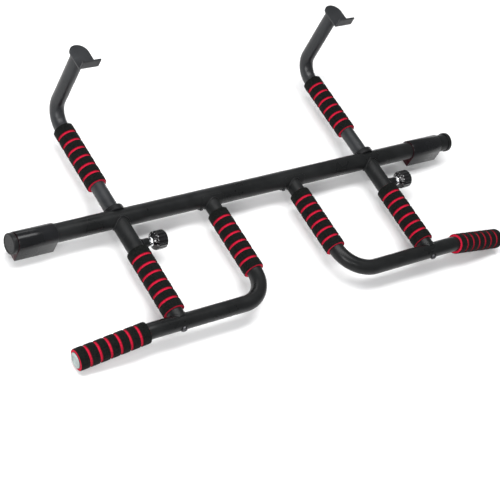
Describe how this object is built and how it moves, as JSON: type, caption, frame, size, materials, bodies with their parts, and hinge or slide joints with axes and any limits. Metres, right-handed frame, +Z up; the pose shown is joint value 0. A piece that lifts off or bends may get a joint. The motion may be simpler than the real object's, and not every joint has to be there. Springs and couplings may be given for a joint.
{
  "type": "pull up bar",
  "caption": "Doorway pull up bar: a crossbar with turning door pads, bent handles with ribbed foam grips, and hook arms that slide in sleeves and lock with side knobs.",
  "frame": {"origin": "middle of the crossbar's axis", "axes": "+X along the crossbar, +Y from the user through the doorway to the hooks, +Z up"},
  "size_m": [1.064, 0.5337, 0.2304],
  "materials": {
    "frame_paint": "satin black powder coat",
    "arm_paint": "satin dark grey powder coat",
    "black_nylon": "moulded",
    "pad_rubber": "smooth gloss",
    "foam": "closed-cell foam, black with red grooves",
    "gloss_knob": "gloss",
    "bright_steel": "bright plated",
    "dark_steel": "black oxide",
    "tip_plug": "moulded grey"
  },
  "bodies": {
    "frame": {"crossbar_tube": "frame_paint", "left_end_cap": "black_nylon", "right_end_cap": "black_nylon", "left_sleeve_tube": "frame_paint", "right_sleeve_tube": "frame_paint", "left_guide_collar": "black_nylon", "right_guide_collar": "black_nylon", "left_sleeve_grip": "foam", "right_sleeve_grip": "foam", "left_leg_grip": "foam", "right_leg_grip": "foam", "left_outer_grip": "foam", "right_outer_grip": "foam", "left_knob_boss": "frame_paint", "right_knob_boss": "frame_paint", "left_handle_tube": "frame_paint", "right_handle_tube": "frame_paint", "left_handle_plug": "tip_plug", "right_handle_plug": "tip_plug", "left_front_washer": "dark_steel", "right_front_washer": "dark_steel", "left_front_bolt": "dark_steel", "right_front_bolt": "dark_steel", "left_sleeve_insert": "dark_steel", "right_sleeve_insert": "dark_steel", "left_leg_saddle": "frame_paint", "right_leg_saddle": "frame_paint", "left_saddle_screw_a": "dark_steel", "right_saddle_screw_a": "dark_steel", "left_saddle_screw_b": "dark_steel", "right_saddle_screw_b": "dark_steel", "left_rivet_nut_a": "bright_steel", "right_rivet_nut_a": "bright_steel", "left_rivet_nut_b": "bright_steel", "right_rivet_nut_b": "bright_steel"},
    "left_arm": {"left_hook_arm": "arm_paint", "left_hook_plate": "arm_paint", "left_arm_glide": "black_nylon", "left_arm_grip": "foam"},
    "left_pad": {"left_door_pad": "pad_rubber"},
    "left_shoe": {"left_clamp_shoe": "black_nylon"},
    "left_knob": {"left_lock_screw": "bright_steel", "left_knob_ring": "bright_steel", "left_lock_knob": "gloss_knob"},
    "right_arm": {"right_hook_arm": "arm_paint", "right_hook_plate": "arm_paint", "right_arm_glide": "black_nylon", "right_arm_grip": "foam"},
    "right_pad": {"right_door_pad": "pad_rubber"},
    "right_shoe": {"right_clamp_shoe": "black_nylon"},
    "right_knob": {"right_lock_screw": "bright_steel", "right_knob_ring": "bright_steel", "right_lock_knob": "gloss_knob"}
  },
  "joints": [
    {"name": "left_arm_slide", "type": "slide", "parent": "frame", "child": "left_arm", "axis": [0, 1, 0], "range_m": [-0.04, 0.065]},
    {"name": "left_pad_turn", "type": "hinge", "parent": "frame", "child": "left_pad", "pos_m": [-0.482, 0, 0], "axis": [1, 0, 0], "continuous": true},
    {"name": "left_shoe_travel", "type": "slide", "parent": "frame", "child": "left_shoe", "axis": [1, 0, 0], "range_m": [0, 0.003]},
    {"name": "left_knob_turn", "type": "hinge", "parent": "left_shoe", "child": "left_knob", "pos_m": [-0.3055, -0.063, 0], "axis": [1, 0, 0], "range_deg": [0, 720]},
    {"name": "right_arm_slide", "type": "slide", "parent": "frame", "child": "right_arm", "axis": [0, 1, 0], "range_m": [-0.04, 0.065]},
    {"name": "right_pad_turn", "type": "hinge", "parent": "frame", "child": "right_pad", "pos_m": [0.461, 0, 0], "axis": [1, 0, 0], "continuous": true},
    {"name": "right_shoe_travel", "type": "slide", "parent": "frame", "child": "right_shoe", "axis": [1, 0, 0], "range_m": [0, 0.003]},
    {"name": "right_knob_turn", "type": "hinge", "parent": "right_shoe", "child": "right_knob", "pos_m": [0.3055, -0.063, 0], "axis": [1, 0, 0], "range_deg": [0, 720]}
  ],
  "couplings": [
    {"joint": "left_shoe_travel", "follows": "left_knob_turn", "m_per_rad": 0.0002387},
    {"joint": "right_shoe_travel", "follows": "right_knob_turn", "m_per_rad": 0.0002387}
  ]
}
